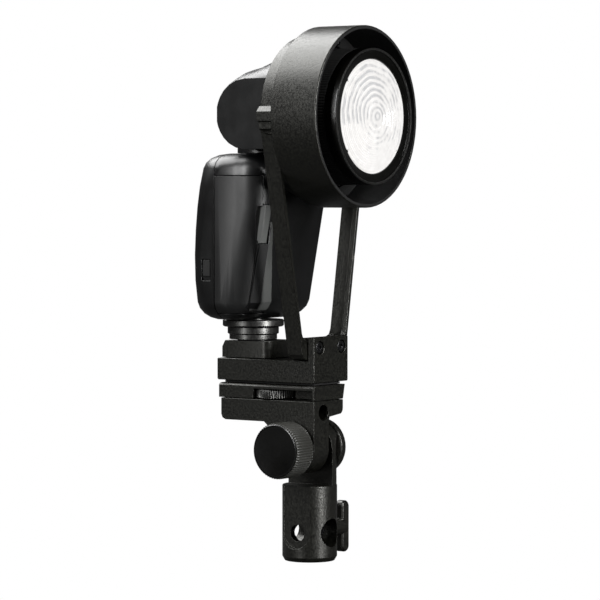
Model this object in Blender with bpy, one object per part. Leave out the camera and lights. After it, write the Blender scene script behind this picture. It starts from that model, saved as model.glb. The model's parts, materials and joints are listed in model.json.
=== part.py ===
"""Round-head flash held in a ring adapter frame on a tilting stand bracket.

Lengths below are millimetres and become metres when a mesh is made. The origin is the mouth
of the stand socket, +Z is up, the light faces -Y and +X is the side of the T-shaped screw.
"""
import math

import bmesh
import bpy
from mathutils import Vector

for old in list(bpy.data.objects):
    bpy.data.objects.remove(old, do_unlink=True)

MM = 0.001
GAP = 0.3                      # clearance between touching pieces

# ---- stand adapter and tilt joint ----
ROD_R = 15.3                   # stand adapter's turned rod
ROD_TOP = 42.4                 # ledge where the ear's flat side starts
NECK_R = 15.0                  # rod above the ledge
NECK_TOP = 47.2                # where the ear's outer side starts
SOCKET_R = 8.1
SOCKET_DEPTH = 36.0
CROSS_Z = 16.0                 # height of the side holes
TILT_Z = 63.0                  # tilt axis runs along X at y = 0
EAR_X = (0.5, 8.3)
KNOB_X = (-33.4, -17.1)
KNOB_R = 15.5
LUG_R = 14.4
WING_X = (28.0, 35.4)          # handle of the stand screw
WING_HALF = 14.6

# ---- base ----
BASE_X = 16.5                  # half width of the slab
FRONT_Y = -14.4
PLATE_REAR_Y = -10.2
SLAB_REAR_Y = 52.0
BRACKET_Z = (77.5, 89.7)
CLAMP_Z = (90.0, 98.2)
SLAB_Z = (99.8, 112.0)
PLATE_TOP = 125.2
WHEEL_XY = (-5.5, 18.5)
WHEEL_R = 11.8
UMBRELLA_XZ = (-7.1, 83.3)
UMBRELLA_R = 4.1
FRAME_SCREW = (10.45, 119.3)   # half spacing and height of the two hex screws
SHOE_SCREW = (9.0, 25.2)       # half spacing and y of the two screws under the shoe

# ---- arms, collar and ring ----
AXIS_Z = 246.5                 # optical axis
ARM_SLOPE = 0.1867             # how far an arm leans outward per mm of height
ARM_FOOT_X = 20.6              # outer face of an arm at the slab
ARM_THICK = 3.6
ARM_DEPTH = 9.85
COLLAR_R = (41.2, 45.0)
COLLAR_Y = (-8.7, 1.4)
RING_R = (48.0, 50.0)
RING_Y = (-38.5, -9.0)
RING_SCREW_ANGLES = (75, 190, 304)

# ---- flash ----
SHOE_Y = 38.9                  # centre of the flash foot
BODY_W = 37.5
BODY_REAR = 56.4
BODY_Z = (134.2, 226.6)
PARTING_Y = 38.5
WALL = 2.0
SWIVEL_Y = 30.0
HEAD_R = 37.5
HEAD_TILT = (21.5, 248.2)      # y and z of the head's tilt axle
TAIL_R = 19.5
TAIL_W = 32.0

# name: (red, green, blue), metallic, roughness
LOOKS = {
    "anodised": ((0.020, 0.020, 0.020), 0.7, 0.45),
    "flash_plastic": ((0.018, 0.018, 0.019), 0.0, 0.50),
    "battery_plastic": ((0.022, 0.022, 0.023), 0.0, 0.42),
    "grey_plastic": ((0.12, 0.12, 0.12), 0.0, 0.50),
    "rubber": ((0.012, 0.012, 0.012), 0.0, 0.80),
    "screw_steel": ((0.06, 0.06, 0.065), 1.0, 0.35),
    "bright_steel": ((0.55, 0.55, 0.56), 1.0, 0.30),
    "brass": ((0.60, 0.42, 0.16), 1.0, 0.35),
    "lens_glass": ((0.85, 0.87, 0.90), 0.0, 0.08),
    "reflector": ((0.85, 0.85, 0.87), 1.0, 0.12),
    "tube_glass": ((0.90, 0.90, 0.85), 0.0, 0.10),
    "circuit_board": ((0.02, 0.10, 0.05), 0.0, 0.55),
    "capacitor_sleeve": ((0.02, 0.03, 0.07), 0.0, 0.40),
    "screen": ((0.01, 0.012, 0.015), 0.0, 0.10),
}


def build_materials():
    """Make one Principled material for each look."""
    made = {}
    for name, (colour, metallic, roughness) in LOOKS.items():
        material = bpy.data.materials.new(name)
        material.use_nodes = True
        shader = material.node_tree.nodes["Principled BSDF"]
        shader.inputs["Base Color"].default_value = (*colour, 1.0)
        shader.inputs["Metallic"].default_value = metallic
        shader.inputs["Roughness"].default_value = roughness
        made[name] = material
    return made


MATERIALS = build_materials()


# ---- outlines and rings ----
def arc(centre, radius, start, end, count):
    """Points on an arc, angles in degrees, both ends included."""
    step = (end - start) / count
    angles = [math.radians(start + i * step) for i in range(count + 1)]
    return [(centre[0] + radius * math.cos(a), centre[1] + radius * math.sin(a)) for a in angles]


def rounded(half_a, half_b, radius, centre=(0.0, 0.0), count=4):
    """Outline of a rectangle with round corners."""
    a, b = half_a - radius, half_b - radius
    points = []
    for index, (sa, sb) in enumerate([(1, 1), (-1, 1), (-1, -1), (1, -1)]):
        corner = (centre[0] + sa * a, centre[1] + sb * b)
        points += arc(corner, radius, 90 * index, 90 * index + 90, count)
    return points


def place(axis, centre, a, b, along):
    """A point at (a, b) across an axis and at a distance along it."""
    x, y, z = centre
    if axis == "X":
        return Vector((x + along, y + a, z + b))
    if axis == "Y":
        return Vector((x + a, y + along, z + b))
    return Vector((x + a, y + b, z + along))


def skin(rings, closed=False):
    """Solid over rings of equal length, with end caps unless it closes on itself."""
    bm = bmesh.new()
    rows = [[bm.verts.new(point) for point in ring] for ring in rings]
    pairs = list(zip(rows, rows[1:]))
    if closed:
        pairs.append((rows[-1], rows[0]))
    else:
        bm.faces.new(rows[0])
        bm.faces.new(reversed(rows[-1]))
    count = len(rows[0])
    for low, high in pairs:
        for i in range(count):
            j = (i + 1) % count
            bm.faces.new((low[i], high[i], high[j], low[j]))
    bmesh.ops.recalc_face_normals(bm, faces=bm.faces)
    return bm


def turned(profile, axis="Z", centre=(0, 0, 0), steps=32, hole=False):
    """Turn (radius, height) points about an axis; with a hole the profile is a closed loop."""
    turns = [2 * math.pi * i / steps for i in range(steps)]
    rings = []
    for radius, along in profile:
        ring = [place(axis, centre, radius * math.cos(t), radius * math.sin(t), along) for t in turns]
        rings.append(ring)
    return skin(rings, closed=hole)


def prism(outline, axis, low, high, centre=(0, 0, 0)):
    """Extrude an outline along an axis."""
    return skin([[place(axis, centre, a, b, along) for a, b in outline] for along in (low, high)])


def box(low, high):
    """Box between two corners."""
    outline = [(low[0], low[1]), (high[0], low[1]), (high[0], high[1]), (low[0], high[1])]
    return prism(outline, "Z", low[2], high[2])


def soft_box(low, high, edge):
    """Box with chamfered edges."""
    bm = box(low, high)
    bmesh.ops.bevel(bm, geom=list(bm.edges), offset=edge, segments=1, affect="EDGES")
    return bm


def ridged(rows, count, depth, axis, centre=(0, 0, 0)):
    """Knurled round solid; a row is (radius, height, knurled or not)."""
    rings = []
    for radius, along, knurled in rows:
        ring = []
        for i in range(2 * count):
            r = radius - depth if knurled and i % 2 else radius
            t = math.pi * i / count
            ring.append(place(axis, centre, r * math.cos(t), r * math.sin(t), along))
        rings.append(ring)
    return skin(rings)


# ---- objects ----
def add(name, bm, look, pivot=(0, 0, 0), sharp=30):
    """Named object in metres with its origin on the pivot."""
    bmesh.ops.translate(bm, verts=bm.verts, vec=-Vector(pivot))
    bmesh.ops.scale(bm, verts=bm.verts, vec=(MM, MM, MM))
    bmesh.ops.recalc_face_normals(bm, faces=bm.faces)
    mesh = bpy.data.meshes.new(name)
    bm.to_mesh(mesh)
    bm.free()
    mesh.materials.append(MATERIALS[look])
    mesh.shade_smooth()
    mesh.set_sharp_from_angle(angle=math.radians(sharp))
    obj = bpy.data.objects.new(name, mesh)
    obj.location = Vector(pivot) * MM
    bpy.context.scene.collection.objects.link(obj)
    return obj


def tool(bm, name="cutter"):
    """Hidden object that only shapes its neighbours."""
    obj = add(name, bm, "rubber")
    obj.hide_render = True
    obj.display_type = "WIRE"
    return obj


def combine(obj, other, operation):
    """Boolean between an object and a hidden tool."""
    modifier = obj.modifiers.new(operation.lower(), "BOOLEAN")
    modifier.operation = operation
    modifier.solver = "EXACT"
    modifier.object = other


def cut(obj, *shapes):
    """Take shapes out of an object."""
    for shape in shapes:
        combine(obj, shape if isinstance(shape, bpy.types.Object) else tool(shape), "DIFFERENCE")
    return obj


def drill(radius, axis, centre, low, high, steps=24):
    """Straight round hole as a cutting shape."""
    return turned([(radius, low), (radius, high)], axis, centre, steps)


def washer(name, look, radii, axis, centre, low, high, steps=32, pivot=(0, 0, 0)):
    """Plain ring."""
    inner, outer = radii
    profile = [(outer, low), (outer, high), (inner, high), (inner, low)]
    return add(name, turned(profile, axis, centre, steps, hole=True), look, pivot)


def cap_screw(name, axis, centre, head, shank, hex_r, direction=1, look="screw_steel"):
    """Socket screw: head (radius, height), shank (radius, length), the head towards -direction."""
    head_r, head_h = head
    shank_r, length = shank
    d = direction
    profile = [(head_r - 0.4, 0), (head_r, 0.4 * d), (head_r, head_h * d), (shank_r, head_h * d),
               (shank_r, (head_h + length) * d)]
    screw = add(name, turned(profile, axis, centre, 16), look)
    return cut(screw, drill(hex_r, axis, centre, -d, 0.6 * head_h * d, 6))


# ---- stand adapter and tilt joint ----
def build_stand_adapter():
    """Rod that drops on the stand's stud, with the ear that carries the tilt joint."""
    rod = turned([(13.9, 0), (ROD_R, 2.4), (ROD_R, ROD_TOP - 0.4), (NECK_R, ROD_TOP), (NECK_R, 80)],
                 steps=40)
    adapter = add("stand_adapter", rod, "anodised")
    inner, outer = EAR_X
    crown = [(-20, TILT_Z), (-NECK_R - 0.2, TILT_Z)]
    crown += arc((0, TILT_Z), NECK_R - 0.4, 180, 0, 14)
    crown += [(NECK_R + 0.2, TILT_Z), (20, TILT_Z), (20, 90), (-20, 90)]
    flat = arc((0, CROSS_Z), 8.8, 180, 360, 10) + [(8.8, 60), (-8.8, 60)]
    cut(adapter,
        box((-20, -20, ROD_TOP), (inner, 20, 90)),
        box((outer, -20, NECK_TOP), (20, 20, 90)),
        prism(crown, "X", -1, 20),
        drill(SOCKET_R, "Z", (0, 0, 0), -1, SOCKET_DEPTH, 28),
        prism(flat, "X", -20, -12),
        drill(4.7, "X", (0, 0, CROSS_Z), -20, 0, 20),
        drill(4.4, "X", (0, 0, CROSS_Z), 0, 20, 16),
        drill(7.9, "Y", (0, 0, CROSS_Z), -20, 20, 28),
        drill(3.3, "X", (0, 0, TILT_Z), -1, 12, 16))


def build_tilt_joint():
    """Disc nut and bolt on the ear, friction washer, and the knurled knob."""
    axis = (0, 0, TILT_Z)
    low = EAR_X[1] + GAP
    profile = [(KNOB_R - 0.8, low), (KNOB_R, low + 0.8), (KNOB_R, 13.0), (KNOB_R - 0.8, 13.9),
               (5.8, 13.9), (5.8, 10.6), (3.3, 10.6), (3.3, low)]
    add("tilt_disc", turned(profile, "X", axis, 40, hole=True), "anodised")
    bolt = turned([(5.1, 13.6), (5.5, 13.2), (5.5, 10.9), (3.0, 10.9), (3.0, -25)], "X", axis, 24)
    cut(add("tilt_bolt", bolt, "screw_steel"), drill(2.5, "X", axis, 12.0, 15, 6))
    washer("friction_washer", "rubber", (3.4, 11.0), "X", axis, -1.6, EAR_X[0] - GAP)
    rows = [(KNOB_R - 1.0, KNOB_X[0], False), (KNOB_R, KNOB_X[0] + 0.9, True), (KNOB_R, -18.2, True),
            (KNOB_R - 0.9, -17.6, False), (9.0, -17.6, False), (9.0, KNOB_X[1], False)]
    knob = add("tilt_knob", ridged(rows, 44, 0.7, "X", axis), "anodised", pivot=axis)
    cut(knob, drill(3.3, "X", axis, -26.3, -16))


def build_stand_screw():
    """T-shaped screw that clamps the stand's stud."""
    axis = (0, 0, CROSS_Z)
    low, high = WING_X
    middle, half = (low + high) / 2, (high - low) / 2
    rings = []
    for y, inset in ((-3.0, 1.0), (-2.0, 0), (2.0, 0), (3.0, 1.0)):
        outline = rounded(half - inset, WING_HALF - inset, half - inset - 0.3, (middle, CROSS_Z), 5)
        rings.append([Vector((x, y, z)) for x, z in outline])
    handle = add("stand_screw_wing", skin(rings), "anodised", pivot=axis)
    combine(handle, tool(turned([(4.6, 15.9), (4.6, middle)], "X", axis, 24)), "UNION")
    cut(handle, drill(3.3, "X", axis, 14, 25.0))
    shank = [(3.4, 9.2), (3.9, 9.8), (3.9, 15.4), (3.0, 15.4), (3.0, 24.7)]
    add("stand_screw_shank", turned(shank, "X", axis, 24), "screw_steel", pivot=axis)


# ---- tilting base ----
def build_tilt_bracket():
    """Block with the umbrella hole, and the lug that turns on the tilt bolt."""
    low, high = BRACKET_Z
    lug_x, side_x = -1.9, 12.0
    rear = 49.4
    side = [(FRONT_Y, high), (FRONT_Y, TILT_Z)] + arc((0, TILT_Z), LUG_R, 190, 393, 22)
    side += [(19.8, low), (rear - 3.0, low), (rear - 0.9, low + 0.9), (rear, low + 3.0), (rear, high)]
    bracket = add("tilt_bracket", prism(side, "X", -BASE_X, side_x + 2), "anodised")
    below = [(lug_x, 40), (lug_x, low), (lug_x + 0.8, low + 3.1), (7.5, low + 4.0)]
    below += arc((side_x - 3.4, low + 7.4), 3.4, -70, 0, 4) + [(side_x, high + 5), (30, high + 5), (30, 40)]
    cut(bracket, prism(below, "Y", -40, 80))
    ux, uz = UMBRELLA_XZ
    cut(bracket,
        turned([(5.5, -15.4), (UMBRELLA_R, -13.8), (UMBRELLA_R, 52)], "Y", (ux, 0, uz), 24),
        drill(3.4, "X", (0, 0, TILT_Z), -20, 2))
    for y in (-6.0, 40.0):
        cut(bracket, drill(1.9, "Z", (6.0, y, 0), low - 2, high + 1, 16),
            drill(3.3, "Z", (6.0, y, 0), low - 2, low + 6.2, 16))


def build_clamp():
    """Clamp plate over the bracket, its screws, rubber pad, thumb wheel and stud."""
    low, high = CLAMP_Z
    across = [(-BASE_X, low), (12.0, low), (13.8, high), (-15.4, high), (-BASE_X, high - 1.2)]
    wheel_x, wheel_y = WHEEL_XY
    plate = add("clamp_plate", prism(across, "Y", FRONT_Y, 50.9), "anodised")
    cut(plate,
        drill(WHEEL_R + 0.6, "Z", (wheel_x, wheel_y, 0), low - 1, 95.5, 48),
        box((-20, FRONT_Y + 1.5, low - 1), (wheel_x, 27.0, 95.5)),
        drill(3.7, "Z", (wheel_x, wheel_y, 0), 90, 100, 16))
    for index, y in enumerate((-6.0, 40.0)):
        cut(plate, drill(1.9, "Z", (6.0, y, 0), low - 1, 96.0, 16))
        cap_screw(f"clamp_screw_{index + 1}", "Z", (6.0, y, 81.2), (2.9, 2.2), (1.6, 12.0), 1.3)
    pad = add("grip_pad", box((-13.6, -12.2, high + GAP), (12.0, 48.6, SLAB_Z[0] - GAP)), "rubber")
    cut(pad, drill(4.2, "Z", (wheel_x, wheel_y, 0), 95, 102, 16))
    pivot = (wheel_x, wheel_y, 92.6)
    rows = [(WHEEL_R - 0.5, 90.2, False), (WHEEL_R, 90.7, True), (WHEEL_R, 94.7, True),
            (WHEEL_R - 0.5, 95.2, False)]
    wheel = add("thumb_wheel", ridged(rows, 44, 0.5, "Z", (wheel_x, wheel_y, 0)), "anodised", pivot)
    cut(wheel, drill(3.5, "Z", (wheel_x, wheel_y, 0), 91.2, 96, 20))
    stud = turned([(3.2, 91.5), (3.2, 107.0), (2.6, 107.6)], "Z", (wheel_x, wheel_y, 0), 20)
    add("clamp_stud", stud, "screw_steel", pivot)


def build_base_slab():
    """L-shaped slab: floor under the shoe and upright front plate."""
    low, high = SLAB_Z
    side = [(SLAB_REAR_Y, low + 0.6), (SLAB_REAR_Y, high - 0.4), (SLAB_REAR_Y - 0.4, high),
            (PLATE_REAR_Y, high), (PLATE_REAR_Y, PLATE_TOP), (FRONT_Y + 0.4, PLATE_TOP),
            (FRONT_Y, PLATE_TOP - 0.4), (FRONT_Y, low + 0.4), (FRONT_Y + 0.4, low),
            (SLAB_REAR_Y - 0.6, low)]
    slab = add("base_slab", prism(side, "X", -BASE_X, BASE_X), "anodised")
    half, height = FRAME_SCREW
    for x in (-half, half):
        cut(slab, drill(3.75, "Y", (x, 0, height), -16, FRONT_Y + 1.9),
            drill(2.3, "Y", (x, 0, height), -16, -9))
    cut(slab, drill(3.6, "Z", (*WHEEL_XY, 0), 99, 108.4, 20))
    for x in (-SHOE_SCREW[0], SHOE_SCREW[0]):
        cut(slab, drill(1.9, "Z", (x, SHOE_SCREW[1], 0), 99, 113, 16),
            drill(3.0, "Z", (x, SHOE_SCREW[1], 0), 99, 103.0, 16))


def arm_outline(inset):
    """Front view of the U-shaped frame; the inset thins it from the inside."""
    foot, top = 112.3, 243.0
    floor = 124.3 - inset

    def outer(z):
        return ARM_FOOT_X + (z - foot) * ARM_SLOPE

    def inner(z):
        return outer(z) - ARM_THICK + inset

    right = [(outer(foot) - 5.0, foot), (outer(foot) - 1.6, foot + 1.0), (outer(foot + 3.4), foot + 3.4)]
    right += [(outer(238.4), 238.4), (46.4, 239.4), (46.4, 243.2), (48.3, 243.6), (48.3, 248.8)]
    right += [(45.6, 251.7), (42.0 + inset / 2, 251.7), (inner(top), top)]
    right += [(inner(floor + 4), floor + 4), (inner(floor + 1.2) - 1.0, floor + 1.2),
              (inner(floor) - 4.0, floor)]
    left = [(-x, z) for x, z in reversed(right)]
    return right + left


def build_arm_frame():
    """Two leaning arms on a cross bar, in one casting with the collar they carry."""
    front, rear = PLATE_REAR_Y + GAP, PLATE_REAR_Y + GAP + ARM_DEPTH
    rings = []
    for y, inset in ((rear, 0.0), (front + 1.9, 0.0), (front, 1.5)):
        ring = []
        for x, z in arm_outline(inset):
            lean = max(0.0, z - 124.0) * 0.0139
            ring.append(Vector((x, y + lean, z)))
        rings.append(ring)
    frame = add("arm_frame", skin(rings), "anodised")
    collar_profile = [(COLLAR_R[0], COLLAR_Y[0]), (COLLAR_R[1], COLLAR_Y[0]),
                      (COLLAR_R[1], COLLAR_Y[1]), (COLLAR_R[0], COLLAR_Y[1])]
    collar = turned(collar_profile, "Y", (0, 0, AXIS_Z), 64, hole=True)
    combine(frame, tool(collar), "UNION")
    half, height = FRAME_SCREW
    for x in (-half, half):
        cut(frame, drill(2.3, "Y", (x, 0, height), -12, -3.0, 16))
    for angle in RING_SCREW_ANGLES:
        cut(frame, drill(1.15, "Y", ring_spot(43.1, angle), -9, -2.0, 12))


def ring_spot(radius, angle):
    """Point on a circle round the optical axis."""
    turn = math.radians(angle)
    return (radius * math.cos(turn), 0, AXIS_Z + radius * math.sin(turn))


def build_frame_screws():
    """Hex screws through the front plate, and small screws that hold the ring."""
    half, height = FRAME_SCREW
    for side, x in (("left", -half), ("right", half)):
        cap_screw(f"frame_screw_{side}", "Y", (x, -14.1, height), (3.4, 1.3), (2.0, 8.5), 1.6)
    for index, angle in enumerate(RING_SCREW_ANGLES):
        x, _, z = ring_spot(43.1, angle)
        cap_screw(f"ring_screw_{index + 1}", "Y", (x, -12.6, z), (1.6, 1.3), (0.85, 7.0), 0.8)


def build_front_ring():
    """Open tube in front of the collar that the round head stands in."""
    front, rear = RING_Y
    inner, outer = RING_R
    profile = [(inner, front), (outer - 0.5, front), (outer, front + 0.5), (outer, rear),
               (COLLAR_R[0], rear), (COLLAR_R[0], rear - 2.0), (inner, rear - 2.0)]
    ring = add("front_ring", turned(profile, "Y", (0, 0, AXIS_Z), 64, hole=True), "anodised")
    for angle in RING_SCREW_ANGLES:
        cut(ring, drill(1.15, "Y", ring_spot(43.1, angle), -12, -7, 12))


# ---- shoe and foot ----
def build_shoe():
    """Cold shoe: a block with a channel that is open at the rear."""
    low, high = SLAB_Z[1] + GAP, 121.9
    plan = [(13.0, 51.2), (-13.0, 51.2)] + arc((-8.7, 23.4), 4.3, 180, 270, 4)
    plan += arc((8.7, 23.4), 4.3, 270, 360, 4)
    rings = []
    for z, back in ((low, 0.0), (high - 3.5, 0.0), (high, 2.0)):
        rings.append([Vector((x, min(y, 51.2 - back), z)) for x, y in plan])
    shoe = add("shoe_block", skin(rings), "anodised")
    cut(shoe,
        box((-9.7, 28.9, 117.5), (9.7, 60, 120.1)),
        box((-6.7, 28.9, 119), (6.7, 60, 125)),
        box((-1.8, 28.9, 115.0), (1.8, 60, 118)))
    for index, x in enumerate((-SHOE_SCREW[0], SHOE_SCREW[0])):
        cut(shoe, drill(1.9, "Z", (x, SHOE_SCREW[1], 0), 111, 118.5, 16))
        cap_screw(f"shoe_screw_{index + 1}", "Z", (x, SHOE_SCREW[1], 100.2), (2.7, 2.4), (1.6, 15.0), 1.3)


def build_foot():
    """Flash foot with its hub, lock ring, sprung pin and centre contact."""
    centre = (0, SHOE_Y, 0)
    hub_profile = [(13.5, 122.4), (13.5, 125.2), (14.5, 125.6), (14.5, 129.2), (8.0, 129.2), (8.0, 133.9)]
    foot = add("foot", turned(hub_profile, "Z", centre, 36), "flash_plastic", pivot=(0, SHOE_Y, 120))
    plate = box((-9.3, SHOE_Y - 9.3, 117.9), (9.3, SHOE_Y + 9.3, 119.7))
    post = box((-6.3, SHOE_Y - 6.3, 118.4), (6.3, SHOE_Y + 6.3, 123.6))
    combine(foot, tool(plate), "UNION")
    combine(foot, tool(post), "UNION")
    pin_y = SHOE_Y - 5.0
    cut(foot, drill(1.5, "Z", (0, pin_y, 0), 117, 132, 16),
        drill(1.9, "Z", (0, SHOE_Y + 1.5, 0), 117, 119.0, 16))
    pin = turned([(1.0, 118.1), (1.2, 118.5), (1.2, 129.6)], "Z", (0, pin_y, 0), 16)
    add("lock_pin", pin, "bright_steel", pivot=(0, pin_y, 119))
    contact = turned([(1.6, 117.95), (1.6, 118.6)], "Z", (0, SHOE_Y + 1.5, 0), 16)
    add("centre_contact", contact, "brass", pivot=(0, SHOE_Y, 120))
    rim = [(16.6, 129.5), (17.25, 130.1), (17.25, 133.0), (16.8, 133.5), (8.4, 133.5), (8.4, 129.5)]
    add("lock_ring", turned(rim, "Z", centre, 40, hole=True), "flash_plastic", pivot=(0, SHOE_Y, 131))


# ---- flash body ----
def between(table, value):
    """Straight-line reading of a short table of (place, amount) rows."""
    if value <= table[0][0]:
        return table[0][1]
    for (a, first), (b, second) in zip(table, table[1:]):
        if value <= b:
            return first + (second - first) * (value - a) / (b - a)
    return table[-1][1]


# how far the outline draws in at a height, and how round its rear corners are
BODY_DRAW_IN = [(134.2, 11.0), (135.4, 7.0), (137.5, 3.6), (140.5, 1.0), (144.0, 0.0), (218.4, 0.0),
                (221.5, 1.6), (224.0, 4.5), (225.8, 9.0), (226.6, 15.0)]
REAR_CORNER = [(142.0, 13.5), (149.0, 11.0), (158.0, 9.5), (172.0, 9.0), (190.0, 11.0), (201.0, 13.6),
               (212.0, 17.3), (218.4, 21.0)]
FRONT_CORNER = 15.0
FRONT_BULGE = 1.6
BATTERY_SEAM_X = -29.2
RELEASE_X = (-28.7, -23.3)
RELEASE_Z = (176.9, 198.0)
KEY_Z = 146.6                  # height of the three rear keys
DIAL_Z = 164.0
DIAL_R = 12.6


def body_front(z):
    """Where the front face stands; it leans back towards the foot."""
    return max(9.4, 9.56 + 0.187 * (196.0 - z))


def body_ring(z, inset):
    """Level outline of the flash body, drawn in by a wall thickness."""
    draw = between(BODY_DRAW_IN, z) + inset
    half = BODY_W - draw
    front = body_front(z) + draw
    rear = BODY_REAR - draw
    rear_r = max(3.0, between(REAR_CORNER, z) - draw)
    front_r = max(3.0, FRONT_CORNER - draw)
    points = arc((half - rear_r, rear - rear_r), rear_r, 0, 90, 6)
    points += arc((rear_r - half, rear - rear_r), rear_r, 90, 180, 6)
    points += arc((front_r - half, front + front_r), front_r, 180, 270, 6)
    span = half - front_r
    for step in (-0.6, -0.2, 0.2, 0.6):
        points.append((step * span, front - FRONT_BULGE * (1 - step * step)))
    points += arc((half - front_r, front + front_r), front_r, 270, 360, 6)
    return [Vector((x, y, z)) for x, y in points]


def body_blank(inset=0.0):
    """Closed solid of the flash body's outer shape, drawn in by the inset."""
    low, high = BODY_Z[0] + inset, BODY_Z[1] - inset
    levels = [z for z, _ in BODY_DRAW_IN if low < z < high] + [156, 170, 184, 197, 208]
    levels = sorted([low, high] + levels)
    return skin([body_ring(z, inset) for z in levels])


def front_surface(x, z):
    """How far back the body's front face stands at a place on it."""
    draw = between(BODY_DRAW_IN, z)
    corner = max(3.0, FRONT_CORNER - draw)
    span = BODY_W - draw - corner
    front = body_front(z) + draw
    if abs(x) > span:
        return front + corner - math.sqrt(corner ** 2 - (abs(x) - span) ** 2)
    return front - FRONT_BULGE * (1 - (x / span) ** 2)


def battery_window(gap=0.0):
    """Plan of the battery's place: behind the front shell, and round its left front corner."""
    rear = PARTING_Y + 3 if gap else PARTING_Y - GAP
    plan = [(-60, 0), (BATTERY_SEAM_X + gap, 0), (BATTERY_SEAM_X + gap, 22.8 - gap), (-12 + gap, 22.8 - gap),
            (-12 + gap, rear), (-60, rear)]
    return prism(plan, "Z", 138.0 - gap, 214.0 + gap)


def build_body_shells():
    """Front shell with the battery's place, and the rear cover with the controls' holes."""
    hollow = tool(body_blank(WALL), "body_hollow")
    front = add("body_front_shell", body_blank(), "flash_plastic", sharp=40)
    cut(front, hollow,
        box((-50, PARTING_Y - GAP / 2, 100), (50, 90, 260)),
        battery_window(GAP),
        drill(8.4, "Z", (0, SWIVEL_Y, 0), 222, 230, 32),
        box((BATTERY_SEAM_X - 1, 5, RELEASE_Z[0] - GAP), (RELEASE_X[1] + GAP, 20, RELEASE_Z[1] + GAP)))
    rear = add("body_rear_cover", body_blank(), "flash_plastic", sharp=40)
    cut(rear, hollow,
        box((-50, -20, 100), (50, PARTING_Y + GAP / 2, 260)),
        box((-21.3, 55.0, 179.7), (21.3, 60, 204.3)),
        box((-18, 50, 182), (18, 58, 202)),
        drill(DIAL_R + 0.4, "Y", (0, 0, DIAL_Z), 55.0, 60, 36),
        drill(3.8, "Y", (0, 0, DIAL_Z), 50, 60, 20),
        box((-40, 41.0, 156.0), (-36.1, 46.9, 168.0)),
        box((-40, 42.2, 159.2), (-30, 45.6, 165.8)),
        drill(8.4, "Z", (0, SWIVEL_Y, 0), 222, 230, 32))
    for x in (-15.0, 0.0, 15.0):
        cut(rear, drill(3.8, "Y", (x, 0, KEY_Z), 50, 60, 20))
    battery = add("battery_pack", body_blank(), "battery_plastic", pivot=(-37.5, 30, 176), sharp=40)
    combine(battery, tool(battery_window()), "INTERSECT")
    cut(battery, prism([(-34.2, 5), (-20, 5), (-20, 15.6), (-31.5, 15.6)], "Z", 178.5, 197.5))


def build_front_fittings():
    """Battery release bar and the wedge over the focus lamp."""
    low, high = RELEASE_Z
    middle = sum(RELEASE_X) / 2
    face_low = front_surface(middle, low)
    face_high = front_surface(middle, high)
    side = [(face_low - 0.7, low), (face_high - 0.7, high), (face_high + 3.7, high),
            (face_high + 3.7, high + 1.7), (face_high + 5.2, high + 1.7), (face_low + 5.9, low - 1.7),
            (face_low + 4.4, low - 1.7), (face_low + 4.1, low)]
    release = prism(side, "X", *RELEASE_X)
    add("battery_release", release, "grey_plastic", pivot=(middle, 14, sum(RELEASE_Z) / 2))
    rings = []
    outline = [(139.4, -27.0, -22.0, -13.5, 0.6), (140.5, -27.6, -22.8, -13.0, 1.4),
               (144.0, -28.8, -24.6, -12.1, 3.4), (176.4, -28.0, -22.0, -18.6, 1.5),
               (188.6, -22.9, -21.4, -20.4, 0.6)]
    for z, left, ridge, right, proud in outline:
        back = [(right, front_surface(right, z) - GAP), (left, front_surface(left, z) - GAP)]
        front = [(left, back[1][1] - 0.3), (ridge, front_surface(ridge, z) - proud), (right, back[0][1] - 0.3)]
        bend = min(back[0][1], front_surface(ridge, z) - GAP)
        ring = front + [back[0], (ridge, bend), back[1]]
        rings.append([Vector((x, y, z)) for x, y in ring])
    wedge = add("focus_lamp_cover", skin(rings), "grey_plastic", sharp=15)
    cut(wedge, box((-40, 0, RELEASE_Z[0] - 0.5), (RELEASE_X[1] + 0.5, 30, 210)))


def build_rear_controls():
    """Screen, dial, buttons and the socket behind its rubber flap."""
    add("display_window", soft_box((-21.0, 55.3, 180.0), (21.0, 56.5, 204.0), 0.3), "screen")
    axis = (0, 0, DIAL_Z)
    rows = [(DIAL_R - 0.4, 55.4, False), (DIAL_R, 55.8, True), (DIAL_R, 57.3, True),
            (DIAL_R - 0.6, 57.8, False)]
    dial = add("control_dial", ridged(rows, 30, 0.5, "Y", axis), "rubber", pivot=(0, 56, DIAL_Z))
    cut(dial, drill(7.6, "Y", axis, 50, 60, 32))
    centre = [(4.6, 52.7), (4.6, 53.6), (3.5, 53.6), (3.5, 56.2), (7.2, 56.2), (7.2, 57.7), (6.8, 58.1)]
    add("set_button", turned(centre, "Y", axis, 28), "flash_plastic", pivot=(0, 56, DIAL_Z))
    for name, x in (("test_button", -15.0), ("menu_button", 0.0), ("power_button", 15.0)):
        profile = [(4.4, 52.6), (4.4, 53.5), (3.5, 53.5), (3.5, 56.6), (3.1, 57.0)]
        add(name, turned(profile, "Y", (x, 0, KEY_Z), 20), "grey_plastic", pivot=(x, 56, KEY_Z))
    flap = soft_box((-37.4, 41.4, 158.4), (-36.5, 46.5, 167.6), 0.25)
    add("port_flap", flap, "rubber", pivot=(-37.9, 44, 158.0))
    add("data_socket", soft_box((-35.6, 42.6, 159.6), (-29.0, 45.2, 165.4), 0.3), "bright_steel")


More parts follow.
